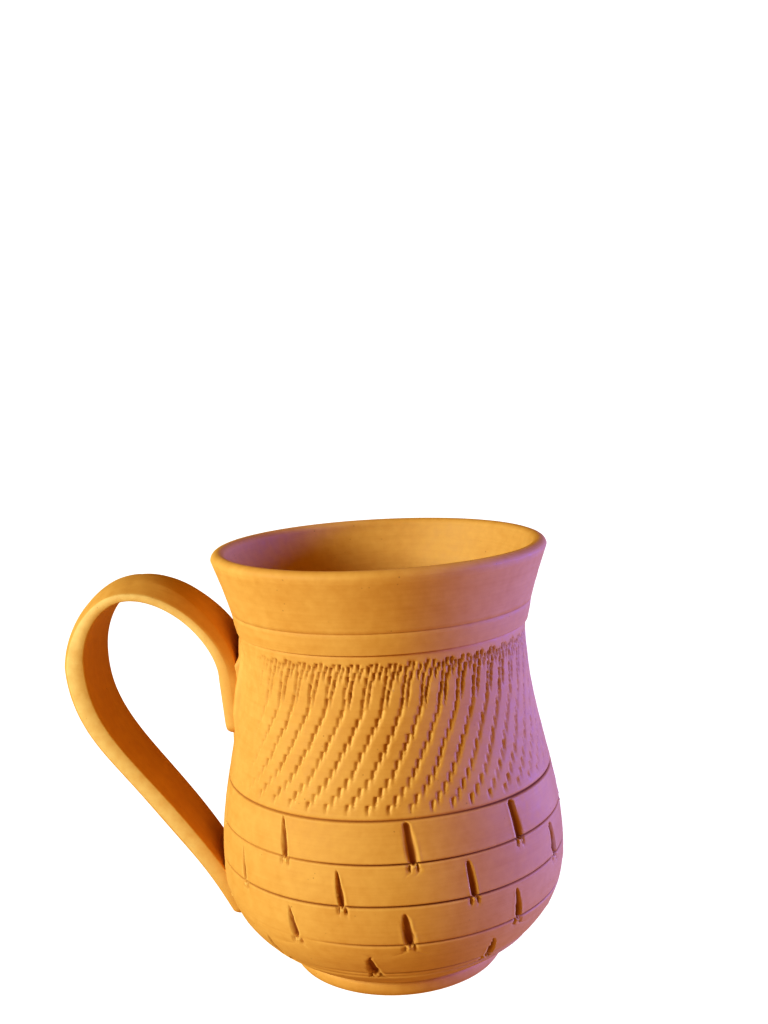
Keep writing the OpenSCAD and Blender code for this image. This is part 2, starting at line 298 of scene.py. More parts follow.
def nick_plan():
    """Even turn, drift, size and bluntness of each nick by course: nine to a course, each course
    turned by half a brick from the last, with seeded values and the measured ones in front."""
    draw = np.random.default_rng(PLAN_SEED)
    courses = np.arange(len(NICK_HEIGHTS))[:, None]
    even = BRICK_TURN + COURSE_TURNS[:, None] + (np.arange(BRICKS) + courses / 2) * TURN / BRICKS
    drift = np.radians(draw.uniform(*DRIFT_RANGE, even.shape))
    size = draw.uniform(*SIZE_RANGE, even.shape)
    blunt = draw.uniform(*BLUNT_RANGE, even.shape)
    drift[:, NICK_FRONT], size[:, NICK_FRONT] = NICK_DRIFTS, NICK_SIZES
    blunt[:, NICK_FRONT] = NICK_BLUNTS
    return even, drift, size, blunt


print("nicks:", BRICKS * len(NICK_HEIGHTS), "in", len(NICK_HEIGHTS), "courses")

# %% One nick
NICK_D, NICK_WALL, NICK_LEAN = 1.1 * MM, 0.3 * MM, math.tan(math.radians(7))
LEAF_POWER, TIP_SHARE, TIP_DEPTH, TIP_RISE = 0.75, 0.1, 0.75, 0.08
PINCH, PINCH_SHARE, NICK_ROUND = 0.45, 0.3, 0.9 * MM
BURR_H, BURR_OFF, BURR_HALF, BURR_RISE = 0.14 * MM, 0.2 * MM, 0.2 * MM, 0.2
WHISKER_L, WHISKER_HALF, WHISKER_D = 2.3 * MM, 0.36 * MM, 1.1 * MM
WHISKER_AT, WHISKER_SPREAD, WHISKER_FULL = 0.36, 0.1, 0.6
CRUMBS, CRUMB_R, CRUMB_H = 5, 0.2 * MM, 0.22 * MM
CRUMB_ACROSS, CRUMB_DOWN = 0.35, (-1, -0.3)


def nick_cut(across, up, height, width, blunt):
    """Depth of one nick: a leaf whose half width shrinks from the ring up to its tip, a little pinched
    and rounded at the ring, with a flat floor, steep sides and a burr along both of them."""
    rise = np.clip(up / height, 0, 1)
    leaf = blunt + (1 - blunt) * (1 - rise) ** LEAF_POWER
    half = width / 2 * leaf * np.sqrt(np.clip((1 - rise) / TIP_SHARE, 0, 1))
    half = half * np.sqrt(np.clip((up + NICK_ROUND / 2) / NICK_ROUND, 0, 1))
    half = half * (1 - PINCH * (1 - blunt) * (1 - soft_step(rise, 0, PINCH_SHARE)))
    inside = half - np.abs(across + NICK_LEAN * up)
    stands = (up > -NICK_ROUND / 2) & (up < height)
    deep = NICK_D * (TIP_DEPTH + (1 - TIP_DEPTH) * (1 - rise)) * soft_step(1 - rise, 0, TIP_RISE)
    burr = BURR_H * np.exp(-(((inside + BURR_OFF) / BURR_HALF) ** 2)) * soft_step(1 - rise, 0, BURR_RISE)
    return stands * (deep * np.clip(inside / NICK_WALL, 0, 1) - burr)


def nick_foot(across, up, width, draw):
    """Depth of two whisker cuts below the corners of a nick, and height of the seeded crumbs there."""
    corner = np.abs(np.abs(across) - WHISKER_AT * width + WHISKER_SPREAD * up)
    below = soft_step(up, -WHISKER_L, -WHISKER_FULL * WHISKER_L) * (up < 0)
    whiskers = WHISKER_D * np.clip(1 - corner / WHISKER_HALF, 0, None) * below
    spots_x = draw.uniform(-CRUMB_ACROSS, CRUMB_ACROSS, CRUMBS) * width
    spots_y = draw.uniform(*CRUMB_DOWN, CRUMBS) * MM
    crumbs = np.zeros_like(up)
    for x, y in zip(spots_x, spots_y):
        crumbs += CRUMB_H * np.exp(-((across - x) ** 2 + (up - y) ** 2) / CRUMB_R**2)
    return whiskers, crumbs


# %% All nicks
CRUMB_SEED = 6


def brick_nicks(angle, z):
    """Depths of all nicks with their whiskers, and heights of the crumbs, course by course."""
    cuts, crumbs = np.zeros_like(z), np.zeros_like(z)
    even, drift, size, blunt = nick_plan()
    draw = np.random.default_rng(CRUMB_SEED)
    for course, (height, width) in enumerate(zip(NICK_HEIGHTS, NICK_WIDTHS)):
        rows = (z[:, 0] > RING_ZS[course] - WHISKER_L) & (z[:, 0] < RING_ZS[course] + height)
        up = z[rows] - RING_ZS[course]
        for i in range(BRICKS):
            turn, wide = even[course, i] + drift[course, i], size[course, i] * width
            across = turn_away(angle[rows], turn) * wall_radius(z[rows])
            leaf = nick_cut(across, up, height, wide, blunt[course, i])
            whiskers, torn = nick_foot(across, up, wide, draw)
            cuts[rows] += np.where(whiskers > np.maximum(leaf, 0), whiskers, leaf)
            crumbs[rows] += torn
    return cuts, crumbs


print("crumbs:", CRUMBS * BRICKS * len(NICK_HEIGHTS))

# %% [markdown]
# ## The tooled band
# Above the bricks a springy blade chattered against the slowly turning pot. Each bounce dug in at
# the top and slid out downwards, so each mark is a small scoop: broad, deep and abrupt at the top,
# and a point at the bottom. Every round of the pot lies a little higher and further on than the
# last, which lines the scoops up in slanting files. Near the collar the files stand upright, and
# shorter strokes with flat floors crowd between them. Round the handle, wet fingers wiped the marks
# faint. One scoop could be copied hundreds of times and cut out, but a depth worked out for whole
# rounds at once is quicker and leaves one clean skin.

# %% One round of scoops
SCOOPS = 52
SCOOP_L, SCOOP_HALF, SCOOP_D = 3.9 * MM, 0.82 * MM, 0.6 * MM
SCOOP_LEAN, SCOOP_EDGE, SCOOP_TIP = math.tan(math.radians(10)), 0.2 * MM, 0.05 * MM
TAPER_POWER, RISE_POWER = 1.5, 1.8
SCOOP_DRIFT, SCOOP_LIFT = 0.1 * MM, 0.07 * MM
FORCE_RANGE, FORCE_RUN = (0.75, 1.15), 0.2
SCOOP_BURR, SCOOP_BURR_AT, SCOOP_BURR_HALF = 0.06 * MM, 1.15, 0.2
# Painted highlight on the side of each scoop that faces the white lamp: how strong it is, and over what
# share of the half width it comes in.
LIT_SIDE_HIGHLIGHT, LIT_SIDE_RUN = 1.5, 0.35


def scoop_round(angle, z, top, turn, length, half, flat, lit, key):
    """Depth and painted light of one round of scoops whose tops lie at a height: the turn is cut into even
    shares, and in each share a V narrows and rises out of the wall from its top down to its point.
    A flat above 1 makes its sides steeper and its floor flat. The painted light is painted shade as deep
    as the cut on the left side, which faces away from the white lamp, and painted highlight on the burr
    and on the right side, which faces the lamp, from the lit share of the half width on."""
    pitch = TURN / SCOOPS
    place = np.round((angle - turn) / pitch)
    which = place.astype(int) % SCOOPS
    draw = np.random.default_rng(key)
    drift = draw.normal(0, SCOOP_DRIFT, SCOOPS)[which]
    lift = draw.normal(0, SCOOP_LIFT, SCOOPS)[which]
    force = draw.uniform(*FORCE_RANGE, SCOOPS)[which]
    down = top + lift - z
    slide = np.clip(down / (length * (1 - FORCE_RUN + FORCE_RUN * force)), 0, 1)
    across = (angle - turn - place * pitch) * wall_radius(z) - drift + SCOOP_LEAN * down
    q = np.abs(across) / np.maximum(half * (1 - slide**TAPER_POWER), SCOOP_TIP)
    dig = soft_step(down, -SCOOP_EDGE / 2, SCOOP_EDGE / 2) * (1 - slide**RISE_POWER)
    burr = SCOOP_BURR * np.exp(-((q - SCOOP_BURR_AT) / SCOOP_BURR_HALF) ** 2) * dig
    depth = SCOOP_D * force * dig * np.clip(flat * (1 - q), 0, 1)
    # Painted highlight on the right side of each scoop, which faces the white lamp; painted shade on the
    # left.
    pale = LIT_SIDE_HIGHLIGHT * soft_step(across, lit * half, (lit + LIT_SIDE_RUN) * half)
    return depth - burr, depth * (1 - pale) - burr


print("scoops in a round:", SCOOPS)

# %% Slant of the files, and the wiped place
BAND_LOW, BAND_MID, BAND_HIGH = 52.5 * MM, 75.1 * MM, 88.7 * MM
FIRST_TOP, FIRST_TURN, FIRST_L = 55.05 * MM, math.radians(-85.5), 2.7 * MM
# Degrees of turn for each millimetre of height, and the heights where the slant eases and ends.
FILE_SLANT, SLANT_EASE, SLANT_STEPS = 1.2, 0.42, 400
EASE_ZS, UPRIGHT_ZS = (59 * MM, 65 * MM), (76 * MM, 82 * MM)
JOINT_TURN = np.pi
WIPE, WIPE_NEAR, WIPE_FAR, WIPE_ZS = 0.85, 21 * MM, 37 * MM, (51 * MM, 55 * MM)


def file_turn(z):
    """How far the files have turned at a height: a slant that lessens from the bottom up and fades
    out under the collar, summed up."""
    at = np.linspace(BAND_LOW, HEIGHT, SLANT_STEPS)
    slant = FILE_SLANT - SLANT_EASE * soft_step(at, *EASE_ZS)
    slant = slant * (1 - soft_step(at, *UPRIGHT_ZS))
    turned = np.cumsum(np.radians(slant) / MM) * (at[1] - at[0])
    return np.interp(z, at, turned) - np.interp(FIRST_TOP, at, turned)


def smear(angle, z):
    """Share of a mark that was wiped away: most of it round the handle's upper end, none far off."""
    off = np.abs(turn_away(angle, JOINT_TURN)) * WAIST_R
    return WIPE * soft_step(-off, -WIPE_FAR, -WIPE_NEAR) * soft_step(z, *WIPE_ZS)


print("files turn by", round(math.degrees(file_turn(BAND_HIGH)), 1), "degrees")

# %% The whole band
ROUND_STEP, ROUNDS, ROUND_FLAT, ROUND_LIT = 1.95 * MM, 12, 1, -0.1
STROKE_TURN, STROKE_FLAT, STROKE_LIT = math.radians(-96.14), 1.8, 0.3
# Each stroke: its share of the way to the next file, then top, length and half width in mm.
STROKES = [(-0.04, 87.1, 2.6, 0.6), (0.24, 87.1, 3, 0.58), (0.5, 86.2, 2.2, 0.5), (0.78, 86.2, 2.6, 0.58),
           (0.08, 85.1, 3.4, 0.55), (0.36, 85.1, 2.8, 0.42), (0.7, 84.2, 3.6, 0.52),
           (0.92, 83.3, 4.6, 0.48), (0.57, 81.7, 4.8, 0.52), (0.8, 80.7, 4.8, 0.48), (0.48, 79, 4.4, 0.6)]
SCOOP_SEED, ROOM_BELOW, ROOM_ABOVE, BAND_EASE = 100, 1.5, 1 * MM, 0.7 * MM


def tooled_band(angle, z):
    """Depth and painted light of all scoops: the rounds one above the other, then the short upright
    strokes that crowd between the files under the collar. Where two overlap, the deeper one stays."""
    depth, tone = np.zeros_like(z), np.zeros_like(z)
    tops = FIRST_TOP + ROUND_STEP * np.arange(ROUNDS)
    turns = FIRST_TURN + file_turn(tops)
    lengths = [FIRST_L] + [SCOOP_L] * (ROUNDS - 1)
    rounds = [(*place, SCOOP_HALF, ROUND_FLAT, ROUND_LIT) for place in zip(tops, turns, lengths)]
    for share, top, length, half in STROKES:
        turn = STROKE_TURN + share * TURN / SCOOPS
        rounds.append((top * MM, turn, length * MM, half * MM, STROKE_FLAT, STROKE_LIT))
    for k, (top, turn, length, half, flat, lit) in enumerate(rounds):
        rows = (z[:, 0] > top - ROOM_BELOW * length) & (z[:, 0] < top + ROOM_ABOVE)
        scoops, tones = scoop_round(
            angle[rows], z[rows], top, turn, length, half, flat, lit, SCOOP_SEED + k)
        deeper = scoops > depth[rows]
        depth[rows] = np.where(deeper, scoops, depth[rows])
        tone[rows] = np.where(deeper, tones, tone[rows])
    clear = (1 - smear(angle, z)) * soft_step(z, BAND_LOW, BAND_LOW + BAND_EASE)
    return depth * clear, tone * clear


print("scoops:", SCOOPS * ROUNDS, "strokes:", SCOOPS * len(STROKES))

# %% [markdown]
# ## Turning marks, collar and lip
# Under the lip the wall was left a little proud as a collar. Its lower edge drops to the tooled
# band, and a fine line runs round it. Fingers and a wooden rib leave shallow waves all the way up.
# These are functions of height with a slight wander, so the wall never looks machined.

# %% Turned relief
COLLAR_Z, COLLAR_DROP, COLLAR_FADE, COLLAR_EDGE = 89.3 * MM, 0.6 * MM, 9 * MM, 0.25 * MM
COLLAR_LINE_Z, LINE_W, LINE_D = 94.5 * MM, 0.6 * MM, 0.26 * MM
COLLAR_BEAD, BEAD_HALF = 0.12 * MM, 1.6 * MM
RIB_WAVE, RIB_PITCH, RIB_BEND, RIB_RUN, RIB_SEEDS = 0.05 * MM, 5.3 * MM, 2, 9 * MM, (60, 61)
WALL_IN, WALL_SWAY, SWAY_SEED, SWAY_WAVES = 0.24 * MM, 0.12 * MM, 62, 3


def collar_lines(z):
    """Depth of the two fine lines of the collar, one along its lower edge and one above it."""
    low = 2 * np.abs(z - COLLAR_Z + COLLAR_EDGE) / LINE_W
    high = 2 * np.abs(z - COLLAR_LINE_Z) / LINE_W
    return LINE_D * (np.clip(1 - low, 0, None) + np.clip(1 - high, 0, None))


def out_of_round(angle):
    """How far the wall keeps inside its outer line: an even depth with a few slow waves."""
    return WALL_IN + WALL_SWAY * wander(angle, SWAY_SEED, SWAY_WAVES)


def turned_relief(angle, z):
    """Depth of the fade under the collar, its lines, the waves of the rib and a wall that is a little
    out of round and never stands past its outer line, less a low bead along the collar."""
    under = COLLAR_DROP * np.clip(1 - (COLLAR_Z - z) / COLLAR_FADE, 0, 1)
    under = under * soft_step(COLLAR_Z - z, 0, COLLAR_EDGE)
    bead = COLLAR_BEAD * np.exp(-((z - (COLLAR_Z + COLLAR_LINE_Z) / 2) / BEAD_HALF) ** 2)
    wave = np.sin(TURN * z / RIB_PITCH + RIB_BEND * wander(angle, RIB_SEEDS[0]))
    rib = RIB_WAVE * wave * wander(z / RIB_RUN, RIB_SEEDS[1])
    return under + collar_lines(z) - bead + rib + out_of_round(angle)


print("collar from", round(COLLAR_Z / MM, 1), "to", round(RIM_Z / MM, 1), "mm")

# %% [markdown]
# ## The body's skin
# The skin starts in the middle of the underside, runs out to the foot, up the carved wall, over the
# lip and down the inside to the middle of the floor, so it closes without a seam. An even grid fine
# enough for every edge would be far too heavy. So the belly's columns are drawn together on the
# nicks and its rows on the rings, and the band's columns lean with the files of scoops.

# %% Foot
# Each zone starts at the angle where the zone below it ends, so that their rings can be zipped.
FILE_COLUMNS = np.array([-0.95, -0.68, -0.4, -0.1, 0.2, 0.5, 0.82, 1.2, 1.65, 2.2, 2.9]) * MM
START = FIRST_TURN + file_turn(BAND_LOW) + FILE_COLUMNS[0] / WAIST_R
FOOT_COLUMNS, EDGE_ROWS, COVE_ROWS = 96, 6, 8
FOOT_IN, FOOT_RISE, FOOT_DRAFT, CARVED_LOW = 2.4 * MM, 3.2 * MM, 0.05 * MM, 10.2 * MM
UNDERSIDE = np.array([0.35, 0.7, 0.92])
FOOT_SWAY, FOOT_SEED = 0.002, 63


def even_turn(columns):
    """Angles of the columns of one ring, evenly spaced."""
    return np.arange(columns) * TURN / columns


def foot_zone():
    """Rings of the underside, the rounded foot edge, the turned line over it and the cove."""
    arc = np.linspace(-np.pi / 2, 0, EDGE_ROWS)
    edge_r, edge_z = FOOT_R - FOOT_IN * (1 - np.cos(arc)), FOOT_RISE * (1 + np.sin(arc))
    cove_z = np.linspace(FOOT_H + LINE_W / 2, CARVED_LOW, COVE_ROWS)
    flat_r = (FOOT_R - FOOT_IN) * UNDERSIDE
    line_r = [FOOT_R, FOOT_R - FOOT_DRAFT, NECK_R - LINE_D]
    line_z = [FOOT_H - LINE_W, FOOT_H - LINE_W / 2, FOOT_H]
    r = np.concatenate([flat_r, edge_r, line_r, wall_radius(cove_z)])
    z = np.concatenate([flat_r * 0, edge_z, line_z, cove_z])
    angle = START + even_turn(FOOT_COLUMNS)[None, :]
    r = r[:, None] * (1 + FOOT_SWAY * wander(angle, FOOT_SEED, SWAY_WAVES))
    return np.stack([r * np.cos(angle), r * np.sin(angle), z[:, None] + 0 * angle], -1)


foot = foot_zone()
print("foot", foot.shape)

# %% Grid of the belly
BELLY_COLUMNS, CROWD, CROWD_RUN = 396, 0.74, 1.5 * MM
RING_ROWS = np.array([-2.1, -1.65, -1.25, -0.9, -0.58, -0.32, -0.15, 0, 0.15, 0.32, 0.7, 1.3]) * MM
ROWS_BETWEEN, BELLY_END, ROW_HALF = 7, 0.2 * MM, 1.2 * MM
# Below these distances from the second ring, the columns follow the lowest course, which is turned.
LOW_COURSE = (1.8 * MM, 3.4 * MM)
LEAN_BELOW, LEAN_ABOVE = (-3.2 * MM, -2 * MM), 1.4 * MM


def belly_grid():
    """Angles and heights of the belly: columns crowd round the nicks and lean and drift with them,
    rows crowd round the ring lines and wander with them."""
    between = np.linspace(RING_ROWS[-1], COURSE_H + RING_ROWS[0], ROWS_BETWEEN)[1:-1]
    heights = [ring_z + RING_ROWS for ring_z in RING_ZS] + [ring_z + between for ring_z in RING_ZS[:-1]]
    z = np.sort(np.concatenate(heights))
    z = z[(z > CARVED_LOW) & (z < BAND_LOW - BELLY_END)][:, None]
    even = START + even_turn(BELLY_COLUMNS)[None, :]
    crowd = CROWD * soft_step(z, CARVED_LOW, CARVED_LOW + CROWD_RUN) * soft_step(BAND_LOW - z, 0, CROWD_RUN)
    centre = BRICK_TURN + COURSE_TURNS[0] * soft_step(RING_ZS[1] - z, *LOW_COURSE)
    angle = even - crowd / (2 * BRICKS) * np.sin(2 * BRICKS * (even - centre))
    for height, ring_z, turns, drifts in zip(NICK_HEIGHTS, RING_ZS, *nick_plan()[:2]):
        up = z - ring_z
        here = soft_step(up, *LEAN_BELOW) * soft_step(height + LEAN_ABOVE - up, 0, LEAN_ABOVE)
        lean = NICK_LEAN * np.clip(up, 0, height) / wall_radius(z)
        for turn, drift in zip(turns, drifts):
            near = np.clip(np.abs(turn_away(even, turn)) * BRICKS / np.pi, 0, 1)
            angle = angle + here * (drift - lean) * (1 + np.cos(np.pi * near)) / 2
    z = z + 0 * even
    for k, ring_z in enumerate(RING_ZS):
        z = z + RING_WANDER * wander(angle, k) * np.exp(-(((z - ring_z) / ROW_HALF) ** 2))
    return angle, z


belly_angle, belly_z = belly_grid()
print("belly:", len(belly_z), "rings")

# %% Grids of the band
ROUND_ROWS = np.array([0.06, -0.14, -0.55, -1.05, -1.5]) * MM
BAND_START, BAND_IN, BAND_OUT = 0.3 * MM, 1 * MM, 1.2 * MM
TOP_COLUMNS, TOP_ROWS, LEAST_STEP = 780, 23, 0.15 * MM


def band_grid():
    """Angles and heights of the band: columns follow the slant of the files and crowd on them, rows
    crowd on the tops of the scoops."""
    tops = FIRST_TOP + ROUND_STEP * np.arange(ROUNDS - 1)
    rows = (tops[:, None] + ROUND_ROWS[::-1]).ravel()
    z = np.concatenate([[BAND_LOW], rows[rows > BAND_LOW + BAND_START], [BAND_MID]])[:, None]
    files = np.arange(SCOOPS)[:, None] * TURN / SCOOPS
    crowded = (files + (FILE_COLUMNS - FILE_COLUMNS[0]) / WAIST_R).reshape(1, -1)
    even = even_turn(crowded.size)[None, :]
    crowd = soft_step(z, BAND_LOW, BAND_LOW + BAND_IN) * soft_step(BAND_MID - z, 0, BAND_OUT)
    slant = file_turn(z) - file_turn(BAND_LOW)
    return START + even + slant + crowd * (crowded - even), z + 0 * even


def top_grid(start):
    """Angles and heights of the upright strokes under the collar: even columns from the start, and
    rows that crowd on the tops of the strokes."""
    tops = np.unique([FIRST_TOP + ROUND_STEP * (ROUNDS - 1)] + [top * MM for _, top, _, _ in STROKES])
    even_rows = np.linspace(BAND_MID, BAND_HIGH, TOP_ROWS)[1:]
    rows = np.sort(np.concatenate([tops + ROUND_ROWS[0], tops + ROUND_ROWS[1], even_rows]))
    kept = np.concatenate([[True], np.diff(rows) > LEAST_STEP])
    z = rows[kept][:, None]
    angle = start + even_turn(TOP_COLUMNS)[None, :]
    return angle + 0 * z, z + 0 * angle


band_angle, band_z = band_grid()
top_angle, top_z = top_grid(band_angle[-1, 0])
TOP_START = top_angle[-1, 0]
print("band:", band_z.shape, "strokes:", top_z.shape)

# %% Carve the wall
# The shade of a mark is painted light that follows its depth: cuts are painted darker, as painted shade,
# and raised burrs, banks and crumbs paler, as painted highlights.
NICK_SHADE, RING_SHADE = 0.95, 1.7
belly_rings = ring_lines(belly_angle, belly_z)
belly_nicks, belly_crumbs = brick_nicks(belly_angle, belly_z)
in_nick = belly_nicks > 0
deepest = np.maximum(belly_rings, belly_nicks)
belly_marks = np.where(in_nick, deepest, belly_rings + belly_nicks) - belly_crumbs
belly_shade = np.where(in_nick, NICK_SHADE * belly_nicks, RING_SHADE * belly_rings + belly_nicks)
belly_shade = belly_shade - belly_crumbs
belly = on_wall(belly_angle, belly_z, belly_marks + turned_relief(belly_angle, belly_z))
band_marks, band_painted_light = tooled_band(band_angle, band_z)
top_marks, top_painted_light = tooled_band(top_angle, top_z)
band = on_wall(band_angle, band_z, band_marks + turned_relief(band_angle, band_z))
top = on_wall(top_angle, top_z, top_marks + turned_relief(top_angle, top_z))
print("deepest nick", round(belly_marks.max() / MM, 2), "mm, scoop", round(band_marks.max() / MM, 2), "mm")

# %% Lip
LIP_COLUMNS, LIP_ROWS = 128, 13
COLLAR_ROWS = np.array([-0.45, -0.35, -0.25, -0.12, 0, 0.15, 0.4]) * MM
BEAD_ROWS = np.linspace(90.4, 93.4, 4) * MM
LINE_ROWS = np.array([-0.5, -0.25, 0, 0.25, 0.5]) * LINE_W
RIM_ROWS = np.linspace(95.6 * MM, RIM_Z, 9)
RIM_WAVE, RIM_SEED, RIM_WAVES = 0.1 * MM, 64, 4


def lip_zone():
    """Rings of the collar up to the rim, then half a circle over the lip, and the depth of the collar's
    lines for their painted shade.
    """
    angle = TOP_START + even_turn(LIP_COLUMNS)[None, :]
    z = np.concatenate([COLLAR_Z + COLLAR_ROWS, BEAD_ROWS, COLLAR_LINE_Z + LINE_ROWS, RIM_ROWS])
    z = z[:, None] + 0 * angle
    wall = on_wall(angle + 0 * z, z, turned_relief(angle, z))
    arc = np.linspace(0, np.pi, LIP_ROWS)[1:, None] + 0 * angle
    r = RIM_R - LIP_T / 2 * (1 - np.cos(arc)) - out_of_round(angle)
    height = LIP_T / 2 - RIM_WAVE + RIM_WAVE * wander(angle, RIM_SEED, RIM_WAVES)
    rim = np.stack([r * np.cos(angle), r * np.sin(angle), RIM_Z + height * np.sin(arc)], -1)
    return np.concatenate([wall, rim]), np.concatenate([collar_lines(z), 0 * arc])


lip, lip_lines = lip_zone()
print("lip", lip.shape, "top at", round(lip[..., 2].max() / MM, 2), "mm")

# %% Inside
WALL_T, FLOOR_T, FLOOR_FLAT_R = 4.5 * MM, 7.5 * MM, 16 * MM
INSIDE_COLUMNS, INSIDE_ROWS, BOWL_ROWS, INSIDE_DROP = 88, 30, 16, 2 * MM
FLOOR_RINGS = np.array([0.75, 0.5, 0.25])
BOWL_RUN, BOWL_RISE = 0.66, 0.55
SPIRAL_D, SPIRAL_PITCH = 0.14 * MM, 6.5 * MM


def bezier(corners, t):
    """Points on the cubic curve with four corners, at shares t of the way."""
    p, t = np.asarray(corners), np.asarray(t)[:, None]
    return (1 - t) ** 3 * p[0] + 3 * t * (1 - t) ** 2 * p[1] + 3 * t**2 * (1 - t) * p[2] + t**3 * p[3]


def inside_zone():
    """Rings down the inside: the wall's thickness inside its outer line, then a bowl to the floor,
    with the shallow spiral that fingers leave."""
    z = np.linspace(RIM_Z - INSIDE_DROP, BELLY_Z, INSIDE_ROWS)
    thin = (LIP_T - WALL_T) * (z - WAIST_Z) / (RIM_Z - WAIST_Z)
    thick = np.where(z < WAIST_Z, WALL_T, WALL_T + thin)
    hollow_r = BELLY_R - WALL_T
    knee_r = FLOOR_FLAT_R + BOWL_RUN * (hollow_r - FLOOR_FLAT_R)
    knee_z = BELLY_Z - BOWL_RISE * (BELLY_Z - FLOOR_T)
    curve = [[hollow_r, BELLY_Z], [hollow_r, knee_z], [knee_r, FLOOR_T], [FLOOR_FLAT_R, FLOOR_T]]
    bowl = bezier(curve, np.linspace(0, 1, BOWL_ROWS)[1:])
    floor = np.stack([FLOOR_FLAT_R * FLOOR_RINGS, np.full(len(FLOOR_RINGS), FLOOR_T)], -1)
    side = np.concatenate([np.stack([wall_radius(z) - thick, z], -1), bowl, floor])
    angle = TOP_START + even_turn(INSIDE_COLUMNS)[None, :]
    ridge = SPIRAL_D * np.sin(TURN * side[:, 1:] / SPIRAL_PITCH + angle)
    r = side[:, :1] - ridge * soft_step(side[:, :1], FLOOR_FLAT_R, 2 * FLOOR_FLAT_R)
    return np.stack([r * np.cos(angle), r * np.sin(angle), side[:, 1:] + 0 * angle], -1)


inside = inside_zone()
print("inside", inside.shape)

# %% Put the body together
# Painted light of each zone, one value per point: painted shade in the cuts and collar lines, painted
# highlight on burrs, crumbs and the lit side of each scoop, and how strongly each shows.
BAND_SHADE, STROKE_SHADE, LINE_SHADE = 1.3, 1.1, 1.5
zones = [foot, belly, band, top, lip, inside]
points, faces = skin(zones, start=np.zeros(3), end=np.array([0, 0, FLOOR_T]))
shades = [0 * foot[..., 0], belly_shade, BAND_SHADE * band_painted_light, STROKE_SHADE * top_painted_light,
          LINE_SHADE * lip_lines, 0 * inside[..., 0]]
ENDS = np.zeros(2)  # the two points that close a skin carry no mark
cut = np.concatenate([shade.ravel() for shade in shades] + [ENDS]) / MM
mug_body = make_piece("mug_body", points, faces, cut=cut)
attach(mug_body, "root")
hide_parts("thrown_body")

# %% [markdown]
# ## The pulled strap
# A strap is pulled wet from a lump of clay, so it tapers and carries faint lines along its length.
# It was pressed to the wall under the collar, sprung over in an arch and wiped on to the bowl at its
# tail. Its inner face is flat and sharp-edged, its outer edges are soft. A curve with a bevel object
# could give it, but not a section that changes on the way. So the shape is one section carried along
# a path of four curves, with width, thickness and shoulder changing along it.

# %% Path of the strap
SLIP_T = 0.8 * MM
REACH, REACH_Z = 82.5 * MM, 81.5 * MM
ARCH_TOP_Z, ARCH_X = 103.2 * MM, 63.5 * MM
TAB_LOW_Z, TAB_TOP_Z, TAB_T, TAB_TAPER = 62.6 * MM, 77 * MM, 3 * MM, 1.1 * MM
TAIL_Z, TAIL_SINK = 14 * MM, 2.1 * MM
STRAP_TS = np.array([4.8, 4.8, 4.6, 6.0, 5.2]) * MM
SPAN_COUNTS = (30, 56, 56, 104)
# How far each curve is pulled on from its two ends, in mm; the tail's end is pulled out and up.
ARCH_PULLS, REACH_PULLS, TAIL_PULLS = (10, 10), (7.2, 9.5), (22.6, 19.8, 38.4)


def radius_at(z):
    """Wall radius at one height."""
    return float(wall_radius(np.array(z)))


def strap_path():
    """Stations of the strap: points on its inner face, outward directions, and for each station its
    span and share of that span."""
    tab_x = radius_at(TAB_TOP_Z) + SLIP_T + TAB_T
    tab_low, tab_top = np.array([tab_x - TAB_TAPER, TAB_LOW_Z]), np.array([tab_x, TAB_TOP_Z])
    arch = np.array([ARCH_X, ARCH_TOP_Z - STRAP_TS[2]])
    reach = np.array([REACH - STRAP_TS[3], REACH_Z])
    tail = np.array([radius_at(TAIL_Z) - TAIL_SINK, TAIL_Z])
    out, up, rise = np.array([MM, 0]), np.array([0, MM]), tab_top - tab_low
    spans = [
        [tab_low, tab_low + rise / 3, tab_low + rise * 2 / 3, tab_top],
        [tab_top, tab_top + ARCH_PULLS[0] * up, arch - ARCH_PULLS[1] * out, arch],
        [arch, arch + REACH_PULLS[0] * out, reach + REACH_PULLS[1] * up, reach],
        [reach, reach - TAIL_PULLS[0] * up, tail + TAIL_PULLS[1] * out + TAIL_PULLS[2] * up, tail]]
    shares = [np.linspace(0, 1, n) for n in SPAN_COUNTS]
    shares[0] = 1 - np.cos(np.pi / 2 * shares[0])
    shares[3] = np.sin(np.pi / 2 * shares[3])
    path = np.concatenate([bezier(p, t)[k > 0:] for k, (p, t) in enumerate(zip(spans, shares))])
    span = np.concatenate([np.full(n - (k > 0), k) for k, n in enumerate(SPAN_COUNTS)])
    share = np.concatenate([t[k > 0:] for k, t in enumerate(shares)])
    along = np.gradient(path, axis=0)
    along /= np.linalg.norm(along, axis=1)[:, None]
    return path, np.stack([-along[:, 1], along[:, 0]], -1), span, share


path, outward, span, share = strap_path()
steps = np.linalg.norm(np.diff(path, axis=0), axis=1)
length = np.concatenate([[0], np.cumsum(steps)])
print("strap:", len(path), "stations,", round(length[-1] / MM, 1), "mm long")

# %% Section of the strap
# Sizes at the tab's end, where it leaves the wall, on the arch, at the reach and at the tail.
STRAP_WS = np.array([21.6, 21.6, 22.6, 21.4, 15.6]) * MM
SHOULDERS = np.array([0.6, 0.6, 7, 1.6, 1.4]) * MM
CROWNS = np.array([0.2, 0.3, 0.5, 0.5, 0.4]) * MM
SIDE_SHARES = np.array([0.5, 0.5, 0.36, 0.72, 0.7])
BOWS = np.array([1.8, 1.8, 0, 0, 0]) * MM
SHOULDER_POWER, CROWN_POWER, EDGE_ROUND = 1.8, 1.6, 0.5 * MM
FACE_POINTS, SHOULDER_POINTS, EDGE_TURNS = 10, 10, np.radians([30, 60])


def mixed(values):
    """Values given at the ends of the four spans, at every station."""
    return (values[span] + (values[span + 1] - values[span]) * share)[:, None]


